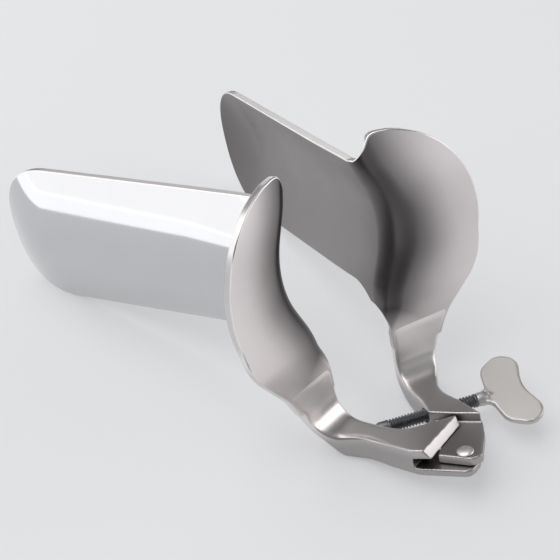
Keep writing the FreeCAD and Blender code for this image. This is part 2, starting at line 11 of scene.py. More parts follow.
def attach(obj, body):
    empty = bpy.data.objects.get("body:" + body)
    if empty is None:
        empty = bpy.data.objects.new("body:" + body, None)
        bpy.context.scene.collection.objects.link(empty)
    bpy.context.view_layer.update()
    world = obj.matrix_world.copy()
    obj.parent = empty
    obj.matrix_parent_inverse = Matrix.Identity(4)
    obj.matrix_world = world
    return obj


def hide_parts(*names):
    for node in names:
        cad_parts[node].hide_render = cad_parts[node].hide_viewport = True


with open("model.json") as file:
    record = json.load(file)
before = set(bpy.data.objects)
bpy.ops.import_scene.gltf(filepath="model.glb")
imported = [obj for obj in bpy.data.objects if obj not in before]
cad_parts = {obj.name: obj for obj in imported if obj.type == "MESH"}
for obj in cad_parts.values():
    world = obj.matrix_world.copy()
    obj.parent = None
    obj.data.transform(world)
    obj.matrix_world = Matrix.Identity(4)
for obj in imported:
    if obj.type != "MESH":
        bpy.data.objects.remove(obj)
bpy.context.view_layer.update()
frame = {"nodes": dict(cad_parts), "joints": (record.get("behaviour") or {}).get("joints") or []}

MM = 0.001

# Sizes are in millimetres. Each valve is described closed and as the right-hand one: X out of the
# mid-plane, Y towards the tips, Z up the hinge axis.

# The blade's trough and rounded tip
BLADE_LENGTH = 100.0
MOUTH_REACH = 46.0
BLADE_HEIGHT = 47.9
MOUTH_HALF_WIDTH = 17.8
TIP_HALF_WIDTH = 20.0
TROUGH_DEPTH = 5.5
TIP_RUN = 22.0
TIP_POWER = 2.4
RIM_GAP = 0.5
WALL = 2.0

# How the sheet runs on past the rims before it is trimmed, and how the section changes at the mouth
PAST_RIM_DEPTH = 0.5
PAST_RIM_RATE = 4
MOUTH_SQUARE = 1.1
MOUTH_FOURTH = 1.2
MOUTH_BLEND = 25.0
NECK_PULL = 3.0
NECK_PULL_START = 20
NECK_PULL_RUN = 10

# The flare and the lip. LIP_START and LIP_END are the degrees between which the lip is a true round.
LIP_FRONT = 33.8
LIP_LEAN = math.radians(5.1)
LEAN_START = -30
LEAN_RUN = 14
LIP_RADIUS = 25.5
LIP_CENTRE_OUT = 4.5
LIP_CENTRE_DROP = 0.6
LIP_START = -12.0
LIP_END = 78.0
FLARE_RADIUS = 8.2
FLARE_END_RADIUS = 2.3
FLARE_FADE = 32.0
FLARE_ARC = 12.0

# The two outlines that trim the sheet: notch, throat, horn, neck, and the weld's seam. NECK_EDGE holds
# shares of the way from the seam to the lip, out and up.
RIM_START = 0.6
NOTCH_RADIUS = 5.0
THROAT_RADIUS = 14.0
HORN_OUT = 3.4
HORN_RISE = 21.7
CROWN_OUT = 5.2
CROWN_RISE = 24.5
HORN_HEEL_OUT = 1.1
HORN_HEEL_RISE = 17.7
INNER_EDGE = 0.4
NECK_TAPER = 6.0
NECK_EDGE = [(0.12, 0.13), (0.26, 0.25), (0.51, 0.41), (0.76, 0.58), (0.93, 0.77)]
SEAM_HEIGHT = 15.5
SEAM_RISE = SEAM_HEIGHT-BLADE_HEIGHT
SEAM_INNER = 1.2
SEAM_OUTER = 15.2
OUTLINE_MARGIN = 5
OUTLINE_FRONT = 12

# The net over the flat sheet: its extent, the step along the edge, and the rounding of the rim
NET_ALONG = (-108, 46)
NET_RISE = (-33, 26)
COARSE_NET = 2.0
FINE_NET = 1.0
EDGE_STEP = 0.5
FRONT_TRIM_START = -20
SEAM_TOLERANCE = 0.02
RIM_CLEARANCE = 0.55
RIM_ROUND = 0.4
RIM_STEPS = 5
INSIDE, OUTSIDE, RIM = 0, 1, 2

# The rivet. HEAD_SEAT is how far within its rim the head meets the tongue, HEAD_LAP how deep it sits.
TONGUE_TOP = 4.1
SHANK_RADIUS = 1.3
SHANK_BEVEL = 0.1
HEAD_RADIUS = 2.0
HEAD_HEIGHT = 0.9
HEAD_RIM = 0.25
HEAD_SEAT = 0.15
HEAD_LAP = 0.01

# The screw and its wing. The screw's own frame has its axis as Z and the wing's plate in XZ.
SCREW_ANGLE = math.radians(10.2)
SCREW_REACH = 20.0
SCREW_HEIGHT = 3.3
SCREW_RADIUS = 1.75
THREAD_END = 13.5
THREAD_START = -9.4
THREAD_DEPTH = 0.42
THREAD_FULLNESS = 0.8
THREAD_RUN_OUT = 0.6
PITCH = 0.8
SPIGOT_RADIUS = 0.9
SPIGOT_LENGTH = 1.4
WING_STEM = 1.9
WING_THICKNESS = 1.5
WING_TILT = math.radians(17.0)

# The screw's neck starts after the thread. It flattens from a share of its length on, to a share of the
# wing's thickness.
NECK_RADIUS = 1.6
NECK_LENGTH = 4.6
NECK_START = 0.3
NECK_BEVEL = 0.5
FLATTEN_START = 0.35
FLATTEN_THICKNESS = 0.35

# Edges of the turned pieces that are steeper than this stay sharp.
SHARP_ANGLE = math.radians(40)

# Lumps of braze on the wing: along the screw from the thread's end, across, above, radius
BRAZE = [(3.4, 1.7, 0.5, 0.5), (3.0, -1.8, 0.4, 0.55), (3.9, 0.3, 0.75, 0.45)]
BRAZE_STRETCH = 1.3

# How the forgings are worn round. The screw's bore and the jaw keep their edges.
VOXEL = 0.22
RELAX_STEP = 0.5
EDGE_ROUNDS = 4
ARM_ROUNDS = 60
WING_ROUNDS = 8
ARM_KEEP = 0.4
WING_KEEP = 0.9
JAW_REACH = 15.0
JAW_FADE = 8
BORE_CLEAR = 2.1
BORE_FADE = 1.4

# How the ground weld laps over the blade's neck: heights are over the seam
STUB_SINK = 0.4
STUB_RISE = 9.0
WELD_REACH = 5.5
WELD_FADE = 2.5
LAP = 0.08
LAP_RUN = 3
LAP_END = 4.0
LAP_SINK = 0.2

# Heights on a valve between which the arm's colour grows from the jaw's darker tone to full
RISE_TONE_START = 3.5
RISE_TONE_FULL = 11.0

# Where the instrument stands: its own frame has the hinge axis as Z, and each valve is turned out by
# half the opening.
HALF_OPENING = math.radians(14.8)
hinge = next(j for j in frame["joints"] if j["name"] == "blade_hinge")
hinge_axis = Vector(hinge["axis"])
tilt = math.atan2(hinge_axis.y, hinge_axis.z)
instrument = Matrix.Translation(Vector(hinge["pos_m"])) @ Matrix.Rotation(-tilt, 4, "X")
to_metres = Matrix.Scale(MM, 4)
mirror = Matrix.Scale(-1, 4, (1, 0, 0))
right_valve = instrument @ Matrix.Rotation(-HALF_OPENING, 4, "Z") @ to_metres
left_valve = instrument @ Matrix.Rotation(HALF_OPENING, 4, "Z") @ mirror @ to_metres

screw_axis = Vector((math.cos(SCREW_ANGLE), -math.sin(SCREW_ANGLE), 0))
screw_across = Vector((0, 0, 1)).cross(screw_axis)
span = screw_across*math.cos(WING_TILT)+Vector((0, 0, 1))*math.sin(WING_TILT)
screw_frame = Matrix((span, screw_axis.cross(span), screw_axis)).transposed().to_4x4()
screw = right_valve @ Matrix.Translation((0, SCREW_REACH, SCREW_HEIGHT)) @ screw_frame


# The pressed sheet of a blade

def smooth(t):
    """0 up to 0, 1 from 1 on, and a smooth step between."""
    t = np.clip(t, 0, 1)
    return t*t*(3-2*t)


def half_width(y):
    """Half the blade's width at reach y."""
    share = (y-MOUTH_REACH)/(BLADE_LENGTH-TIP_RUN)
    return MOUTH_HALF_WIDTH+(TIP_HALF_WIDTH-MOUTH_HALF_WIDTH)*share


def trough_face(y, height, nearness):
    """Distance of the trough's inner face from the mid-plane. nearness is 1 at the mouth."""
    across = np.abs(height)/half_width(y)
    along = np.maximum(0.0, (y-(MOUTH_REACH+BLADE_LENGTH-TIP_RUN))/TIP_RUN)
    spread = (across**TIP_POWER+along**TIP_POWER)**(1/TIP_POWER)
    within = TROUGH_DEPTH*(1-spread**2)
    beyond = -PAST_RIM_DEPTH*TROUGH_DEPTH*np.tanh(PAST_RIM_RATE*(spread-1))
    bowl = np.where(spread <= 1, within, beyond)
    mouth = TROUGH_DEPTH*np.exp(-MOUTH_SQUARE*across**2-MOUTH_FOURTH*across**4)
    mouth = mouth-NECK_PULL*smooth((-height-NECK_PULL_START)/NECK_PULL_RUN)
    return RIM_GAP+bowl+(mouth-bowl)*nearness


def flare_radius(height):
    """The flare rolls widest at the blade's centre line and tightens above and below it."""
    roll = np.maximum(0.0, 1-(height/FLARE_FADE)**2)
    return FLARE_END_RADIUS+(FLARE_RADIUS-FLARE_END_RADIUS)*roll


def lean_at(height):
    """The lip's lean back from square. It dies out down the neck."""
    return LIP_LEAN*smooth((height-LEAN_START)/LEAN_RUN)


def inner_face(s, height):
    """Points of the inner face. s is minus the mm along the trough, then 0 to 1 round the flare, then
    1 plus the mm out along the lip."""
    radius = flare_radius(height)
    lean = lean_at(height)
    y_start = LIP_FRONT+radius
    trough_y = y_start-np.minimum(s, 0)
    trough_x = trough_face(trough_y, height, smooth(1+np.minimum(s, 0)/MOUTH_BLEND))
    turn = np.clip(s, 0, 1)*(math.pi/2-lean)
    out = np.maximum(s-1, 0)
    flare_x = trough_face(y_start, height, 1.0)+radius*(1-np.cos(turn))+out*np.cos(lean)
    flare_y = y_start-radius*np.sin(turn)-out*np.sin(lean)
    x = np.where(s <= 0, trough_x, flare_x)
    y = np.where(s <= 0, trough_y, flare_y)
    return np.stack(np.broadcast_arrays(x, y, BLADE_HEIGHT+height), -1)


def through_metal(s, height):
    """Unit vectors out of the inner face and through the sheet."""
    step = 1e-3
    along = inner_face(s-step, height)-inner_face(s+step, height)
    up = inner_face(s, height+step)-inner_face(s, height-step)
    normal = np.cross(along, up)
    return normal/np.linalg.norm(normal, axis=-1, keepdims=True)


def cut_direction(s):
    """Unit vectors across the sheet's cut edge: along X in the trough, along Y on the lip."""
    turn = np.clip(s, 0, 1)*math.pi/2
    return np.stack([np.cos(turn), np.sin(turn), np.zeros_like(turn)], -1)


def flat_from_s(s):
    """The sheet laid out flat, so that distances on it are close to real ones."""
    return np.where(s <= 0, s, np.where(s < 1, s*FLARE_ARC, FLARE_ARC+s-1))


def s_from_flat(u):
    return np.where(u <= 0, u, np.where(u < FLARE_ARC, u/FLARE_ARC, u-FLARE_ARC+1))


def s_at_reach(y, height):
    """The place on the sheet that lies at reach y, in the trough or round the flare."""
    radius = flare_radius(height)
    below = (LIP_FRONT+radius-y)/radius
    turned = np.arcsin(np.clip(below, 0, 1))/(math.pi/2-lean_at(height))
    return np.where(below <= 0, below*radius, turned)


def s_at_out(x, height):
    """The place on the sheet that lies at x, or nan where no tried place brackets it."""
    in_trough, in_flare, on_lip = np.arange(-20, 0, 0.25), np.arange(0, 1, 0.02), np.arange(1, 41)
    tries = np.concatenate([in_trough, in_flare, on_lip])
    reach = inner_face(tries[None, :], height[:, None])[..., 0]
    places = np.full(len(x), np.nan)
    for row, (line, wanted) in enumerate(zip(reach, x)):
        short = np.flatnonzero(line < wanted)
        if len(short) and short[-1]+1 < len(tries):
            k = short[-1]
            share = (wanted-line[k])/(line[k+1]-line[k])
            places[row] = tries[k]+(tries[k+1]-tries[k])*share
    return places


def walk(points, step=0.6):
    """Points at even steps along a line of corners."""
    points = np.array(points, float)
    lengths = np.linalg.norm(np.diff(points, axis=0), axis=1)
    reach = np.concatenate([[0], np.cumsum(lengths)])
    count = max(2, int(reach[-1]/step))
    at = np.linspace(0, reach[-1], count, endpoint=False)
    return np.stack([np.interp(at, reach, points[:, k]) for k in (0, 1)], -1)


def arc_points(centre, radius, start, end, count=24):
    angles = np.radians(np.linspace(start, end, count))
    return [(centre[0]+radius*math.cos(a), centre[1]+radius*math.sin(a)) for a in angles]


def catmull(points, count=10):
    """A smooth line through the points, which are counted twice at the ends."""
    p = np.array([points[0]]+list(points)+[points[-1]], float)
    line = []
    for i in range(1, len(p)-2):
        for t in np.linspace(0, 1, count, endpoint=False):
            a = 2*p[i]
            b = (p[i+1]-p[i-1])*t
            c = (2*p[i-1]-5*p[i]+4*p[i+1]-p[i+2])*t*t
            e = (3*p[i]-p[i-1]-3*p[i+1]+p[i+2])*t**3
            line.append(tuple(0.5*(a+b+c+e)))
    return line+[tuple(p[-2])]


def tip_points(steps=60):
    """The rounded tip, from the lower rim to the upper one."""
    start = MOUTH_REACH+BLADE_LENGTH-TIP_RUN
    tip = []
    for k in range(-steps, steps+1):
        angle = math.radians(90*k/steps)
        along = max(0.0, math.cos(angle))**(2/TIP_POWER) if abs(k) < steps else 0.0
        across = math.copysign(abs(math.sin(angle))**(2/TIP_POWER), angle)
        tip.append((start+TIP_RUN*along, TIP_HALF_WIDTH*across))
    return tip


def side_outline():
    """Seen square on to the trough, as (reach, height above the blade's centre line)."""
    back = LIP_FRONT+WALL+RIM_START
    front = LIP_FRONT-OUTLINE_FRONT
    notch, throat = back+NOTCH_RADIUS, back+THROAT_RADIUS
    top, bottom = float(half_width(notch)), -float(half_width(throat))
    low, high = SEAM_RISE-OUTLINE_MARGIN, LIP_RADIUS+OUTLINE_MARGIN
    corners = [(throat, bottom)]+tip_points()+[(notch, top)]
    corners += arc_points((notch, top+NOTCH_RADIUS), NOTCH_RADIUS, 270, 180)
    corners += [(back, high), (front, high), (front, low), (back, low)]
    corners += arc_points((throat, bottom-THROAT_RADIUS), THROAT_RADIUS, 180, 90)
    return corners


def front_outline():
    """Seen by the operator, as (out, height above the blade's centre line)."""
    centre = (LIP_CENTRE_OUT, -LIP_CENTRE_DROP)
    lip = arc_points(centre, LIP_RADIUS, LIP_START, LIP_END, count=60)
    seam = (SEAM_OUTER, SEAM_RISE)
    way = (lip[0][0]-seam[0], lip[0][1]-seam[1])
    flank = [seam]+[(seam[0]+way[0]*out, seam[1]+way[1]*up) for out, up in NECK_EDGE]+[lip[0]]
    crown, horn = (CROWN_OUT, CROWN_RISE), (HORN_OUT, HORN_RISE)
    corners = catmull(flank)[:-1]+lip+catmull([lip[-1], crown, horn])[1:]
    corners += [
        (HORN_HEEL_OUT, HORN_HEEL_RISE),
        (INNER_EDGE, HORN_HEEL_RISE-INNER_EDGE),
        (INNER_EDGE, SEAM_RISE+NECK_TAPER*2),
        (SEAM_INNER, SEAM_RISE+NECK_TAPER),
        (SEAM_INNER, SEAM_RISE),
    ]
    return corners


def inside(points, corners):
    """Which points lie within a closed outline."""
    result = np.zeros(len(points), bool)
    corners = np.array(corners, float)
    for (x0, y0), (x1, y1) in zip(corners, np.roll(corners, -1, axis=0)):
        if y0 == y1:
            continue
        crosses = (y0 > points[:, 1]) != (y1 > points[:, 1])
        cut = x0+(points[:, 1]-y0)/(y1-y0)*(x1-x0)
        result ^= crosses & (points[:, 0] < cut)
    return result


def gap_to(points, loop, batch=64):
    """Distance of each point from the nearest corner of a finely walked outline."""
    nearest = np.full(len(points), np.inf)
    for start in range(0, len(loop), batch):
        part = loop[start:start+batch]
        gaps = np.linalg.norm(points[:, None]-part[None], axis=2).min(1)
        nearest = np.minimum(nearest, gaps)
    return nearest


def triangulate(points, chains):
    """A triangle net through the points that holds every chain as edges."""
    verts = [Vector(p) for p in points]
    edges = []
    for chain in chains:
        first = len(verts)
        verts += [Vector(p) for p in chain]
        edges += [(first+i, first+i+1) for i in range(len(chain)-1)]
    same_point = 1e-5
    result = delaunay_2d_cdt(verts, edges, [], 0, same_point, False)
    return np.array([tuple(v) for v in result[0]]), np.array(result[2])


def unbroken(places):
    """The runs of places between the ones that have no number."""
    gaps = np.flatnonzero(np.isnan(places[:, 0]))
    runs = [part[~np.isnan(part[:, 0])] for part in np.split(places, gaps)]
    return [run for run in runs if len(run) > 1]


def boundary_loop(faces):
    """The longest closed loop of edges that belong to a single triangle."""
    once = set()
    for a, b, c in faces.tolist():
        for edge in ((a, b), (b, c), (c, a)):
            if edge[::-1] in once:
                once.remove(edge[::-1])
            else:
                once.add(edge)
    follow = {}
    for a, b in sorted(once):
        follow.setdefault(a, []).append(b)
    loops = []
    while follow:
        loop = [next(iter(follow))]
        while loop[-1] in follow:
            after = follow[loop[-1]].pop()
            if not follow[loop[-1]]:
                del follow[loop[-1]]
            loop.append(after)
        loops.append(loop[:-1])
    return max(loops, key=len)


def square_net(spacing):
    """Flat places (u, height) in rows that cover more than the sheet."""
    along = np.arange(NET_ALONG[0], NET_ALONG[1], spacing)
    rise = np.arange(NET_RISE[0], NET_RISE[1], spacing)
    return np.array([(u, h) for u in along for h in rise])


def sheet_edge():
    """Flat places of the sheet's edge, in order, as the two outlines trim it."""
    side, front = side_outline(), front_outline()
    side_walk, front_walk = walk(side+side[:1]), walk(front+front[:1])
    side_u = flat_from_s(s_at_reach(side_walk[:, 0], side_walk[:, 1]))
    front_u = flat_from_s(s_at_out(front_walk[:, 0], front_walk[:, 1]))
    side_flat = np.stack([side_u, side_walk[:, 1]], -1)
    front_flat = np.stack([front_u, front_walk[:, 1]], -1)

    points, faces = triangulate(square_net(COARSE_NET), unbroken(side_flat)+unbroken(front_flat))
    middle = points[faces].mean(1)
    place = inner_face(s_from_flat(middle[:, 0]), middle[:, 1])
    height = place[:, 2]-BLADE_HEIGHT
    in_side = inside(np.stack([place[:, 1], height], -1), side)
    in_trough = (middle[:, 0] < FRONT_TRIM_START) | ((middle[:, 0] < 0) & (height > 0))
    in_front = inside(np.stack([place[:, 0], height], -1), front) | in_trough
    edge = points[boundary_loop(faces[in_side & in_front])]
    return walk(np.vstack([edge, edge[:1]]), EDGE_STEP)


def drawn_in(edge):
    """The edge moved in by the rim's rounding. At the seam it keeps its height, as the weld covers it."""
    tangent = np.roll(edge, -1, axis=0)-np.roll(edge, 1, axis=0)
    tangent /= np.linalg.norm(tangent, axis=1, keepdims=True)
    inward = np.stack([-tangent[:, 1], tangent[:, 0]], -1)
    on_seam = edge[:, 1] < SEAM_RISE+SEAM_TOLERANCE
    ends = on_seam & (np.roll(~on_seam, 1) | np.roll(~on_seam, -1))
    inward[on_seam & ~ends] = 0
    middle = edge[on_seam, 0].mean()
    inward[ends] = np.stack([np.sign(middle-edge[ends, 0]), np.zeros(ends.sum())], -1)
    return edge+inward*RIM_ROUND


def sheet_net(rim):
    """Flat points and triangles of the sheet within its rim."""
    grid = square_net(FINE_NET)
    grid = grid[inside(grid, rim)]
    grid = grid[gap_to(grid, rim) > RIM_CLEARANCE]
    points, faces = triangulate(grid, [np.vstack([rim, rim[:1]])])
    return points, faces[inside(points[faces].mean(1), rim)]


def rim_rings(inner, outer, across, reach):
    """Rings of points and their normals over the rim, from the inner face to the outer one."""
    length = np.linalg.norm(reach, axis=1, keepdims=True)
    size = np.minimum(length, RIM_ROUND)
    way = np.where(size > 1e-4, reach/np.maximum(length, 1e-9), 0)
    angles = [math.pi/2*k/RIM_STEPS for k in range(1, RIM_STEPS+1)]
    rings, normals = [], []
    for a in angles:
        rings.append(inner+across*size*(1-math.cos(a))+way*size*math.sin(a))
        normals.append(-across*math.cos(a)+way*math.sin(a))
    for a in reversed(angles):
        rings.append(outer-across*size*(1-math.cos(a))+way*size*math.sin(a))
        normals.append(across*math.cos(a)+way*math.sin(a))
    return rings, normals


def blade_mesh(name, place):
    """Both faces of the sheet on one triangle net, joined round the edge by a rounded rim."""
    edge = sheet_edge()
    rim = drawn_in(edge)
    points, faces = sheet_net(rim)
    loop = boundary_loop(faces)
    s, rise = s_from_flat(points[:, 0]), points[:, 1]
    inner, normal, across = inner_face(s, rise), through_metal(s, rise), cut_direction(s)
    outer = inner+across*(WALL/np.sum(across*normal, axis=1, keepdims=True))
    nearest = np.array([np.argmin(np.linalg.norm(rim-points[v], axis=1)) for v in loop])
    across = across[loop]
    reach = inner_face(s_from_flat(edge[:, 0]), edge[:, 1])[nearest]-inner[loop]
    reach -= across*np.sum(reach*across, axis=1, keepdims=True)
    rings, ring_normals = rim_rings(inner[loop], outer[loop], across, reach)
    verts = np.vstack([inner, outer]+rings)
    normals = np.vstack([-normal, normal]+ring_normals)
    # Where the rim isn't rounded, on the seam, it faces down.
    normals[np.linalg.norm(normals, axis=1) < 1e-6] = (0, 0, -1)

    count, length = len(points), len(loop)
    polygons = [tuple(f[::-1]) for f in faces]
    polygons += [tuple(f+count) for f in faces]
    lines = [list(loop)]
    lines += [[2*count+k*length+i for i in range(length)] for k in range(len(rings))]
    lines += [[v+count for v in loop]]
    for near, far in zip(lines, lines[1:]):
        for i in range(length):
            j = (i+1) % length
            polygons.append((near[i], near[j], far[j], far[i]))
    if place.determinant() > 0:
        polygons = [p[::-1] for p in polygons]

    matrix = np.array(place)
    verts = verts@matrix[:3, :3].T+matrix[:3, 3]
    normals = normals@matrix[:3, :3].T
    normals /= np.linalg.norm(normals, axis=1, keepdims=True)
    mesh = bpy.data.meshes.new(name)
    mesh.from_pydata(verts.tolist(), [], [tuple(int(v) for v in p) for p in polygons])
    mesh.shade_smooth()
    mesh.normals_split_custom_set_from_vertices([tuple(v) for v in normals])

    flat = np.vstack([points, points]+[points[loop]]*len(rings))
    grain = mesh.uv_layers.new(name="grain")
    corners = np.zeros(len(mesh.loops), np.int32)
    mesh.loops.foreach_get("vertex_index", corners)
    grain.data.foreach_set("uv", (flat[corners][:, ::-1]/BLADE_LENGTH).ravel())
    finish = np.full(len(mesh.polygons), RIM, np.int32)
    finish[:len(faces)] = INSIDE
    finish[len(faces):2*len(faces)] = OUTSIDE
    mesh.polygons.foreach_set("material_index", finish)
    return mesh


# Forged pieces: the solids with their edges polished round

def modified(mesh, kind, **settings):
    """A new mesh, as one modifier leaves it."""
    block = bpy.data.objects.new(mesh.name, mesh)
    bpy.context.scene.collection.objects.link(block)
    modifier = block.modifiers.new(kind.lower(), kind)
    for key, value in settings.items():
        setattr(modifier, key, value)
    view = bpy.context.evaluated_depsgraph_get()
    result = bpy.data.meshes.new_from_object(block.evaluated_get(view))
    bpy.data.objects.remove(block)
    return result


def skin_round(sources):
    """One skin round several closed meshes."""
    work = bmesh.new()
    for source in sources:
        work.from_mesh(source)
    bmesh.ops.remove_doubles(work, verts=work.verts, dist=1e-6)
    rough = bpy.data.meshes.new("rough")
    work.to_mesh(rough)
    work.free()
    return modified(rough, "REMESH", mode="VOXEL", voxel_size=VOXEL*MM)


def read_vectors(mesh, what):
    """The vertices' places or normals as rows."""
    values = np.zeros(len(mesh.vertices)*3)
    mesh.vertices.foreach_get(what, values)
    return values.reshape(-1, 3)


def move_vertices(mesh, places):
    mesh.vertices.foreach_set("co", places.ravel())
    mesh.update()


def relax(mesh, weights, rounds):
    """Draw each vertex towards the middle of its neighbours, more where its weight is high."""
    count = len(mesh.vertices)
    places = read_vectors(mesh, "co")
    ends = np.zeros(len(mesh.edges)*2, np.int32)
    mesh.edges.foreach_get("vertices", ends)
    a, b = ends.reshape(-1, 2).T
    degree = np.bincount(ends, minlength=count)
    for _ in range(rounds):
        sums = [np.bincount(a, places[b, k], count)+np.bincount(b, places[a, k], count) for k in range(3)]
        places += RELAX_STEP*weights[:, None]*(np.stack(sums, -1)/degree[:, None]-places)
    move_vertices(mesh, places)


def local_places(mesh, place):
    """The vertices in a valve's own millimetres."""
    inverse = np.array(place.inverted())
    return read_vectors(mesh, "co")@inverse[:3, :3].T+inverse[:3, 3]


def finished(mesh, name, keep):
    """The mesh with fewer triangles, named, smooth and without the solid's material."""
    mesh = modified(mesh, "DECIMATE", ratio=keep)
    mesh.name = name
    mesh.materials.clear()
    mesh.shade_smooth()
    return mesh


def neck_stub(blade, place):
    """The foot of a blade's neck, cut off above the weld and let into the arm."""
    work = bmesh.new()
    work.from_mesh(blade)
    up = place.to_3x3() @ Vector((0, 0, 1))
    up.normalize()
    bmesh.ops.transform(work, matrix=Matrix.Translation(-up*STUB_SINK*MM), verts=work.verts)
    cut = place @ Vector((0, 0, SEAM_HEIGHT+STUB_RISE))
    everything = work.verts[:]+work.edges[:]+work.faces[:]
    bmesh.ops.bisect_plane(work, geom=everything, plane_co=cut, plane_no=up, clear_outer=True)
    bmesh.ops.holes_fill(work, edges=[e for e in work.edges if e.is_boundary])
    stub = bpy.data.meshes.new("neck_stub")
    work.to_mesh(stub)
    work.free()
    return stub


def off_bore(local):
    """0 at the wall of the screw's bore, which stays true, and 1 away from it."""
    reach = local-np.array((0, SCREW_REACH, SCREW_HEIGHT))
    out = np.linalg.norm(np.cross(reach, np.array(screw_axis)), axis=1)
    return smooth((out-BORE_CLEAR)/BORE_FADE)


def arm_mesh(side, place, blade):
    """Forging and weld ground to one surface, which laps over the neck and ends under the sheet's face."""
    mesh = skin_round([frame["nodes"][side+"_arm"].data, neck_stub(blade, place)])
    relax(mesh, np.ones(len(mesh.vertices)), EDGE_ROUNDS)
    local = local_places(mesh, place)
    at_weld = smooth((WELD_REACH-np.abs(local[:, 2]-SEAM_HEIGHT))/WELD_FADE)
    along_arm = smooth((local[:, 1]-JAW_REACH)/JAW_FADE)
    if side == "right":
        along_arm = along_arm*off_bore(local)
    relax(mesh, np.maximum(at_weld, along_arm), ARM_ROUNDS)

    over_seam = local_places(mesh, place)[:, 2]-SEAM_HEIGHT
    sinking = smooth((over_seam-LAP_END)/(STUB_RISE-LAP_END-STUB_SINK))
    lift = LAP*smooth((over_seam+LAP_RUN)/LAP_RUN)-(LAP+LAP_SINK)*sinking
    move_vertices(mesh, read_vectors(mesh, "co")+read_vectors(mesh, "normal")*lift[:, None]*MM)

    mesh = finished(mesh, side+"_arm_forging", ARM_KEEP)
    # The arm's colour is darker low on the valve, towards the jaw
    rise_tone = mesh.attributes.new("rise_tone", "FLOAT", "POINT")
    rise = local_places(mesh, place)[:, 2]
    rise_tone.data.foreach_set("value", smooth((rise-RISE_TONE_START)/(RISE_TONE_FULL-RISE_TONE_START)))
    return mesh


def wing_mesh():
    """Plate, neck and lumps of braze under one worn skin."""
    lumps = [braze_mesh(THREAD_END+along, across, above, radius) for along, across, above, radius in BRAZE]
    mesh = skin_round([frame["nodes"]["wing_head"].data, neck_mesh()]+lumps)
    relax(mesh, np.ones(len(mesh.vertices)), WING_ROUNDS)
    return finished(mesh, "wing_head_plate", WING_KEEP)


# Turned pieces

def rings_mesh(name, rings, place):
    """A closed skin over rings of equal length, with a cap at each end."""
    size = len(rings[0])
    verts = [place @ Vector(p) for ring in rings for p in ring]
    faces = []
    for k in range(len(rings)-1):
        for i in range(size):
            j = (i+1) % size
            faces.append((k*size+i, k*size+j, (k+1)*size+j, (k+1)*size+i))
    faces.append(tuple(range(size))[::-1])
    faces.append(tuple((len(rings)-1)*size+i for i in range(size)))
    mesh = bpy.data.meshes.new(name)
    mesh.from_pydata(verts, [], faces)
    mesh.shade_smooth()
    mesh.set_sharp_from_angle(angle=SHARP_ANGLE)
    return mesh


def oval(wide, tall, height, count):
    """A ring of points, wide along X and tall along Y."""
    turns = [2*math.pi*i/count for i in range(count)]
    return [(wide*math.cos(a), tall*math.sin(a), height) for a in turns]


def circle(radius, height, count=72):
    return oval(radius, radius, height, count)


def rivet_mesh(steps=16):
    """Shank and a low domed head with a rounded rim."""
    seat = TONGUE_TOP-HEAD_LAP
    profile = [
        (SHANK_RADIUS-SHANK_BEVEL, 0.0),
        (SHANK_RADIUS, SHANK_BEVEL),
        (SHANK_RADIUS, seat),
        (HEAD_RADIUS-HEAD_SEAT, seat),
    ]
    for k in range(-steps//4, steps):
        a = math.pi/2*k/steps
        rise = HEAD_RIM*math.sin(a)*2 if k < 0 else (HEAD_HEIGHT-HEAD_RIM)*math.sin(a)
        profile.append((HEAD_RADIUS*math.cos(a), TONGUE_TOP+HEAD_RIM+rise))
    return rings_mesh("hinge_rivet_domed", [circle(r, z) for r, z in profile], right_valve)


def spindle_mesh(count=40, rings_per_turn=10):
    """Screw with a cut thread, plain at the nose and at the neck."""
    rings = [
        circle(SPIGOT_RADIUS, THREAD_START-SPIGOT_LENGTH, count),
        circle(SPIGOT_RADIUS, THREAD_START, count),
    ]
    steps = int((THREAD_END-THREAD_START)/PITCH*rings_per_turn)
    for k in range(steps+1):
        height = THREAD_START+(THREAD_END-THREAD_START)*k/steps
        fade = min(1.0, (height-THREAD_START)/PITCH, (THREAD_END-height)/(PITCH*THREAD_RUN_OUT))
        ring = []
        for i in range(count):
            turn = i/count
            phase = (height/PITCH-turn) % 1.0
            depth = THREAD_DEPTH*(0.5+0.5*math.cos(2*math.pi*phase))**THREAD_FULLNESS*fade
            radius = SCREW_RADIUS-depth
            ring.append((radius*math.cos(2*math.pi*turn), radius*math.sin(2*math.pi*turn), height))
        rings.append(ring)
    rings.append(circle(NECK_RADIUS, THREAD_END+NECK_BEVEL, count))
    return rings_mesh("threaded_spindle", rings, screw)


def neck_mesh(steps=16, count=32):
    """The plain end of the screw, which flattens out on the wing."""
    rings = []
    for k in range(steps+1):
        share = k/steps
        height = THREAD_END+NECK_START+(NECK_LENGTH-NECK_START)*share
        sink = float(smooth((share-FLATTEN_START)/(1-FLATTEN_START)))
        wide = NECK_RADIUS+(WING_STEM-NECK_RADIUS)*sink
        tall = NECK_RADIUS+(WING_THICKNESS*FLATTEN_THICKNESS-NECK_RADIUS)*sink
        rings.append(oval(wide, tall, height, count))
    return rings_mesh("neck", rings, screw)


def braze_mesh(along, across, above, radius):
    """A small lump of braze where the wing meets the screw."""
    place = Matrix.Translation((across, above, along)) @ Matrix.Scale(BRAZE_STRETCH, 4, (0, 0, 1))
    work = bmesh.new()
    bmesh.ops.create_icosphere(work, subdivisions=2, radius=radius, matrix=place)
    work.transform(screw)
    mesh = bpy.data.meshes.new("braze")
    work.to_mesh(mesh)
    work.free()
    return mesh


# Camera, placed in the instrument's own frame and in millimetres

CAMERA_AZIMUTH = math.radians(-30.75)
CAMERA_ELEVATION = math.radians(24.6)
CAMERA_ROLL = math.radians(-13.29)
CAMERA_DISTANCE = 292.47
CAMERA_AIM = Vector((0, 90, 20.8))
CAMERA_SLIDE = (-13.21, -3.9)
FOCAL_PIXELS = 1000.0
FRAME_PIXELS = 560.0
SENSOR_WIDTH = 36.0


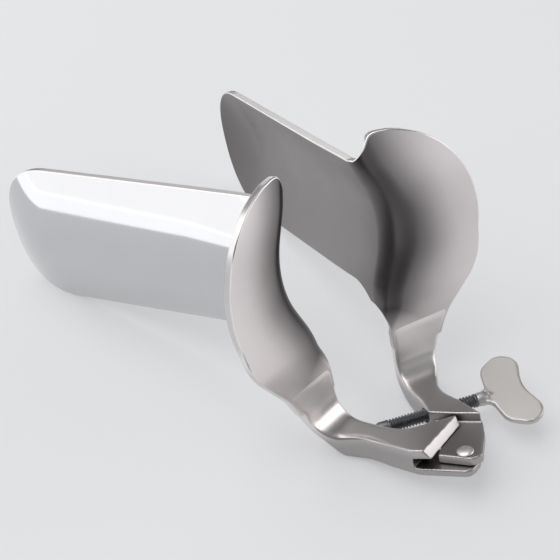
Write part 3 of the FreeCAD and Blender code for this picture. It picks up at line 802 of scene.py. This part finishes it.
def make_camera():
    """The photograph's view. Azimuth and elevation are those of the camera as seen from its aim."""
    a, e, r = CAMERA_AZIMUTH, CAMERA_ELEVATION, CAMERA_ROLL
    back = Vector((math.sin(a)*math.cos(e), -math.cos(a)*math.cos(e), math.sin(e)))
    level = Vector((math.cos(a), math.sin(a), 0))
    rise = back.cross(level)
    right = level*math.cos(r)+rise*math.sin(r)
    up = rise*math.cos(r)-level*math.sin(r)
    eye = CAMERA_AIM-right*CAMERA_SLIDE[0]-up*CAMERA_SLIDE[1]+back*CAMERA_DISTANCE
    local = Matrix((right, up, back)).transposed().to_4x4()
    local.translation = eye*MM
    data = bpy.data.cameras.new("camera")
    data.sensor_width = SENSOR_WIDTH
    data.lens = SENSOR_WIDTH*FOCAL_PIXELS/FRAME_PIXELS
    data.clip_start = 0.01
    camera = bpy.data.objects.new("camera", data)
    bpy.context.scene.collection.objects.link(camera)
    camera.matrix_world = instrument @ local
    bpy.context.scene.camera = camera


# Materials

# All steels: the scale of their clouds, and the depth of the fine grain at full relief, in metres
CLOUD_SCALE = 60.0
GRAIN_DEPTH = 0.00005

# Painted shade on the blade's inside, along the flat sheet from near the tip to the lip's edge. Start and
# end are in lengths of the blade, and the stops lie between them. The first two stops are the two ends.
SHADE_RAMP_START = -1.08
SHADE_RAMP_END = 0.34
PAINTED_SHADE_STOPS = [
    (0.0, 0.20),
    (1.0, 1.0),
    (0.35, 0.38),
    (0.70, 0.40),
    (0.78, 0.30),
    (0.83, 0.11),
    (0.865, 0.11),
    (0.93, 0.92),
]
SHADE_WANDER = 0.05
SHADE_WANDER_SCALE = 45.0

# Where the painted shade lifts off the neck, as heights over the blade's length, and the tone it lifts to
NECK_LIFT_START = -0.19
NECK_LIFT_FULL = -0.29
NECK_LIFT_TONE = 0.9

# The arm's darker tone at the jaw, the painted shade in its crevices and how far it reaches, and how open
# to the sky a place is to stay unshaded
JAW_TONE = 0.50
CREVICE_SHADE_TONE = 0.05
CREVICE_SHADE_REACH = 0.004
OPEN_SKY = 0.75


def node_tree(owner):
    owner.use_nodes = True
    owner.node_tree.nodes.clear()
    return owner.node_tree


def link(tree, source, output, target, socket):
    tree.links.new(source.outputs[output], target.inputs[socket])


def number(tree, operation, *inputs):
    """A Math node, its inputs sockets or plain numbers."""
    node = tree.nodes.new("ShaderNodeMath")
    node.operation = operation
    for k, value in enumerate(inputs):
        if isinstance(value, (int, float)):
            node.inputs[k].default_value = value
        else:
            tree.links.new(value, node.inputs[k])
    return node.outputs["Value"]


def eased(tree, source, start, end):
    """0 before start, 1 after end, and a smooth step between."""
    node = tree.nodes.new("ShaderNodeMapRange")
    node.interpolation_type = "SMOOTHSTEP"
    node.inputs["From Min"].default_value = start
    node.inputs["From Max"].default_value = end
    tree.links.new(source, node.inputs["Value"])
    return node.outputs["Result"]


def noise(tree, vector, scale, detail, roughness=0.5):
    node = tree.nodes.new("ShaderNodeTexNoise")
    node.inputs["Scale"].default_value = scale
    node.inputs["Detail"].default_value = detail
    node.inputs["Roughness"].default_value = roughness
    tree.links.new(vector, node.inputs["Vector"])
    return node.outputs["Fac"]


def steel(name, colour, tint, roughness, spread, grain, grain_scale, stretch=(1.0, 1.0, 1.0),
          relief=0.0, brushed=0.0):
    """Stainless steel: clouds between two colours, and a grain in its roughness and relief.

    grain is the share of the fine grain in the roughness, stretch draws the grain out, and brushed
    is the anisotropy along the blade."""
    material = bpy.data.materials.new(name)
    tree = node_tree(material)
    nodes = tree.nodes
    out = nodes.new("ShaderNodeOutputMaterial")
    shader = nodes.new("ShaderNodeBsdfPrincipled")
    shader.inputs["Metallic"].default_value = 1.0
    shader.inputs["Anisotropic"].default_value = brushed
    link(tree, shader, "BSDF", out, "Surface")
    if brushed:
        way = nodes.new("ShaderNodeTangent")
        way.direction_type = "UV_MAP"
        way.uv_map = "grain"
        link(tree, way, "Tangent", shader, "Tangent")
    place = nodes.new("ShaderNodeTexCoord")
    drawn = nodes.new("ShaderNodeMapping")
    drawn.inputs["Scale"].default_value = stretch
    link(tree, place, "Object", drawn, "Vector")
    cloud = noise(tree, place.outputs["Object"], CLOUD_SCALE, detail=6.0, roughness=0.55)
    fine = noise(tree, drawn.outputs["Vector"], grain_scale, detail=4.0, roughness=0.6)
    shade = nodes.new("ShaderNodeMix")
    shade.data_type = "RGBA"
    shade.inputs["A"].default_value = (*colour, 1)
    shade.inputs["B"].default_value = (*tint, 1)
    tree.links.new(cloud, shade.inputs["Factor"])
    link(tree, shade, "Result", shader, "Base Color")
    rough = nodes.new("ShaderNodeMapRange")
    rough.inputs["From Min"].default_value = 0.3
    rough.inputs["From Max"].default_value = 0.7
    rough.inputs["To Min"].default_value = roughness-spread
    rough.inputs["To Max"].default_value = roughness+spread
    clouded = number(tree, "MULTIPLY", cloud, 1-grain)
    tree.links.new(number(tree, "MULTIPLY_ADD", fine, grain, clouded), rough.inputs["Value"])
    link(tree, rough, "Result", shader, "Roughness")
    bump = nodes.new("ShaderNodeBump")
    bump.inputs["Strength"].default_value = relief
    bump.inputs["Distance"].default_value = GRAIN_DEPTH
    tree.links.new(fine, bump.inputs["Height"])
    link(tree, bump, "Normal", shader, "Normal")
    return material


def multiply_colour(tree, tone):
    """Put a tone over what already feeds the base colour."""
    shader = next(n for n in tree.nodes if n.type == "BSDF_PRINCIPLED")
    product = tree.nodes.new("ShaderNodeMix")
    product.data_type = "RGBA"
    product.blend_type = "MULTIPLY"
    product.inputs["Factor"].default_value = 1.0
    tree.links.new(shader.inputs["Base Color"].links[0].from_socket, product.inputs["A"])
    tree.links.new(tone, product.inputs["B"])
    link(tree, product, "Result", shader, "Base Color")


def painted_shade_of_blade(material):
    """Painted shade on the blade's inside: darker in the trough, darkest in the flare's hollow, light on
    the lip, lifted on the neck.
    """
    tree = material.node_tree
    place = tree.nodes.new("ShaderNodeUVMap")
    place.uv_map = "grain"
    split = tree.nodes.new("ShaderNodeSeparateXYZ")
    link(tree, place, "UV", split, "Vector")
    spots = tree.nodes.new("ShaderNodeTexCoord")
    wander = noise(tree, spots.outputs["Object"], SHADE_WANDER_SCALE, detail=2.0)
    moved = number(tree, "MULTIPLY_ADD", wander, SHADE_WANDER, split.outputs["Y"])
    share = tree.nodes.new("ShaderNodeMapRange")
    share.inputs["From Min"].default_value = SHADE_RAMP_START
    share.inputs["From Max"].default_value = SHADE_RAMP_END
    tree.links.new(moved, share.inputs["Value"])
    # The ramp paints shade along the sheet: dark in the trough, darkest in the flare's hollow
    ramp = tree.nodes.new("ShaderNodeValToRGB")
    ramp.color_ramp.interpolation = "B_SPLINE"
    elements = ramp.color_ramp.elements
    for k, (at, tone) in enumerate(PAINTED_SHADE_STOPS):
        stop = elements[k] if k < 2 else elements.new(at)
        stop.position = at
        stop.color = (tone, tone, tone, 1)
    link(tree, share, "Result", ramp, "Fac")
    neck = number(tree, "MULTIPLY", eased(tree, split.outputs["X"], NECK_LIFT_START, NECK_LIFT_FULL), NECK_LIFT_TONE)
    multiply_colour(tree, number(tree, "MAXIMUM", ramp.outputs["Color"], neck))


def arm_tone_and_painted_shade(material):
    """Darker towards the jaw, and painted shade in the slot and corners."""
    tree = material.node_tree
    rise_tone = tree.nodes.new("ShaderNodeAttribute")
    rise_tone.attribute_name = "rise_tone"
    tone = number(tree, "MULTIPLY_ADD", rise_tone.outputs["Fac"], 1-JAW_TONE, JAW_TONE)
    # Painted shade: the colour darkens where ambient occlusion finds the slot and corners
    sky = tree.nodes.new("ShaderNodeAmbientOcclusion")
    sky.samples = 8
    sky.inputs["Distance"].default_value = CREVICE_SHADE_REACH
    reach = eased(tree, sky.outputs["AO"], 0.0, OPEN_SKY)
    shade = number(tree, "MULTIPLY_ADD", reach, 1-CREVICE_SHADE_TONE, CREVICE_SHADE_TONE)
    multiply_colour(tree, number(tree, "MULTIPLY", tone, shade))


# Floor and light

# Where the table, seen in metal, turns into the sweep, in metres from its middle, and how much brighter
SWEEP_START = 0.265
SWEEP_FULL = 0.28
SWEEP_GAIN = 1.0

# The table: its lit colour, its even glow, and the glow's share where the camera or metal sees it
TABLE_COLOUR = (0.78, 0.785, 0.80, 1)
TABLE_GLOW = (0.77, 0.775, 0.79, 1)
TABLE_REACH = 4.0
EVEN_SHARE = 0.5

SKY_COLOUR = (0.96, 0.97, 1.0, 1)
SKY_STRENGTH = 0.22


def make_floor():
    """Pale table. Seen by the camera or in metal it is part lit, part even, so its shadows are light.
    In metal its far part is as bright as the white sweep that it runs into."""
    material = bpy.data.materials.new("pale_table")
    tree = node_tree(material)
    out = tree.nodes.new("ShaderNodeOutputMaterial")
    matt = tree.nodes.new("ShaderNodeBsdfDiffuse")
    matt.inputs["Color"].default_value = TABLE_COLOUR
    even = tree.nodes.new("ShaderNodeEmission")
    even.inputs["Color"].default_value = TABLE_GLOW
    rays = tree.nodes.new("ShaderNodeLightPath")
    where = tree.nodes.new("ShaderNodeNewGeometry")
    split = tree.nodes.new("ShaderNodeSeparateXYZ")
    link(tree, where, "Position", split, "Vector")
    square_x = number(tree, "MULTIPLY", split.outputs["X"], split.outputs["X"])
    square_y = number(tree, "MULTIPLY", split.outputs["Y"], split.outputs["Y"])
    away = number(tree, "SQRT", number(tree, "ADD", square_x, square_y))
    sweep = eased(tree, away, SWEEP_START, SWEEP_FULL)
    far = number(tree, "MULTIPLY", sweep, rays.outputs["Is Glossy Ray"])
    tree.links.new(number(tree, "MULTIPLY_ADD", far, SWEEP_GAIN, 1.0), even.inputs["Strength"])
    seen = number(tree, "MAXIMUM", rays.outputs["Is Camera Ray"], rays.outputs["Is Glossy Ray"])
    evenness = number(tree, "MULTIPLY_ADD", far, 1-EVEN_SHARE, EVEN_SHARE)
    blend = tree.nodes.new("ShaderNodeMixShader")
    tree.links.new(number(tree, "MULTIPLY", seen, evenness), blend.inputs["Fac"])
    link(tree, matt, "BSDF", blend, 1)
    link(tree, even, "Emission", blend, 2)
    link(tree, blend, "Shader", out, "Surface")
    mesh = bpy.data.meshes.new("table")
    r = TABLE_REACH
    mesh.from_pydata([(-r, -r, 0), (r, -r, 0), (r, r, 0), (-r, r, 0)], [], [(0, 1, 2, 3)])
    mesh.materials.append(material)
    floor = bpy.data.objects.new("table", mesh)
    bpy.context.scene.collection.objects.link(floor)


def make_world():
    world = bpy.data.worlds.new("studio")
    bpy.context.scene.world = world
    tree = node_tree(world)
    out = tree.nodes.new("ShaderNodeOutputWorld")
    sky = tree.nodes.new("ShaderNodeBackground")
    sky.inputs["Color"].default_value = SKY_COLOUR
    sky.inputs["Strength"].default_value = SKY_STRENGTH
    link(tree, sky, "Background", out, "Surface")


def panel(name, place, aim, size, radiance):
    """A lit panel of even brightness, where 1 shows as white in a perfect mirror."""
    data = bpy.data.lights.new(name, "AREA")
    data.shape = "RECTANGLE"
    data.size, data.size_y = size
    data.energy = radiance*math.pi*size[0]*size[1]
    light = bpy.data.objects.new(name, data)
    bpy.context.scene.collection.objects.link(light)
    light.location = place
    direction = Vector(aim)-Vector(place)
    light.rotation_euler = direction.to_track_quat("-Z", "Y").to_euler()


# The picture's setting

make_camera()
make_floor()
make_world()
panel("backdrop", place=(-0.75, 0.9, 0.42), aim=(0, 0, 0.03), size=(1.8, 0.84), radiance=1.28)
panel("ceiling", place=(-0.30, 0.35, 1.1), aim=(0, 0, 0), size=(1.5, 1.2), radiance=2.0)
panel("right_front", place=(0.80, -0.58, 0.38), aim=(0, 0, 0.03), size=(1.1, 0.66), radiance=1.8)
panel("back_right", place=(0.65, 0.95, 0.90), aim=(0, 0, 0.03), size=(0.8, 0.5), radiance=1.1)
bpy.context.scene.view_settings.view_transform = "Standard"

polished = steel("polished_steel", (0.64, 0.64, 0.65), (0.60, 0.60, 0.61), roughness=0.08, spread=0.02,
                 grain=0.4, grain_scale=2500.0, stretch=(1.0, 0.05, 1.0), relief=0.03)
satin = steel("satin_steel", (0.78, 0.735, 0.73), (0.71, 0.665, 0.66), roughness=0.36, spread=0.05,
              grain=0.5, grain_scale=2500.0, stretch=(1.0, 0.05, 1.0), relief=0.03, brushed=0.6)
rim_steel = steel("rim_steel", (0.72, 0.70, 0.69), (0.66, 0.64, 0.63), roughness=0.30, spread=0.05,
                  grain=0.5, grain_scale=2500.0, stretch=(1.0, 0.5, 1.0), relief=0.02)
arm_steel = steel("arm_steel", (0.86, 0.82, 0.81), (0.80, 0.76, 0.75), roughness=0.34, spread=0.04,
                  grain=0.15, grain_scale=900.0)
rivet_steel = steel("rivet_steel", (0.80, 0.77, 0.76), (0.72, 0.69, 0.68), roughness=0.42, spread=0.06,
                    grain=0.3, grain_scale=2000.0, relief=0.02)
wing_steel = steel("wing_steel", (0.60, 0.58, 0.56), (0.54, 0.52, 0.50), roughness=0.45, spread=0.05,
                   grain=0.3, grain_scale=2600.0, relief=0.03)
screw_steel = steel("screw_steel", (0.22, 0.22, 0.23), (0.15, 0.15, 0.16), roughness=0.36, spread=0.08,
                    grain=0.5, grain_scale=2000.0, relief=0.05)
# Painted shade goes onto the blade's inside, and onto the arm's slot and corners
painted_shade_of_blade(satin)
arm_tone_and_painted_shade(arm_steel)


# The pieces

def add(name, mesh, body, node, slot, *materials):
    """A visible piece that moves with its body and takes the place of the node's plain solid."""
    piece = bpy.data.objects.new(name, mesh)
    bpy.context.scene.collection.objects.link(piece)
    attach(piece, body)
    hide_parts(node)
    for material in materials:
        mesh.materials.append(material)


valves = {"right": right_valve, "left": left_valve}
sheets = {side: blade_mesh(side+"_blade_sheet", place) for side, place in valves.items()}
for side, sheet in sheets.items():
    add(sheet.name, sheet, side+"_valve", side+"_blade", "blade_steel", satin, polished, rim_steel)
for side, place in valves.items():
    forging = arm_mesh(side, place, sheets[side])
    add(forging.name, forging, side+"_valve", side+"_arm", "arm_steel", arm_steel)

add("wing_head_plate", wing_mesh(), "thumbscrew", "wing_head", "wing_steel", wing_steel)
add("hinge_rivet_domed", rivet_mesh(), "right_valve", "hinge_rivet", "rivet_steel", rivet_steel)
add("threaded_spindle", spindle_mesh(), "thumbscrew", "screw_spindle", "screw_steel", screw_steel)

foot_materials = frame["nodes"]["swivel_foot"].data.materials
foot_materials.clear()
foot_materials.append(screw_steel)
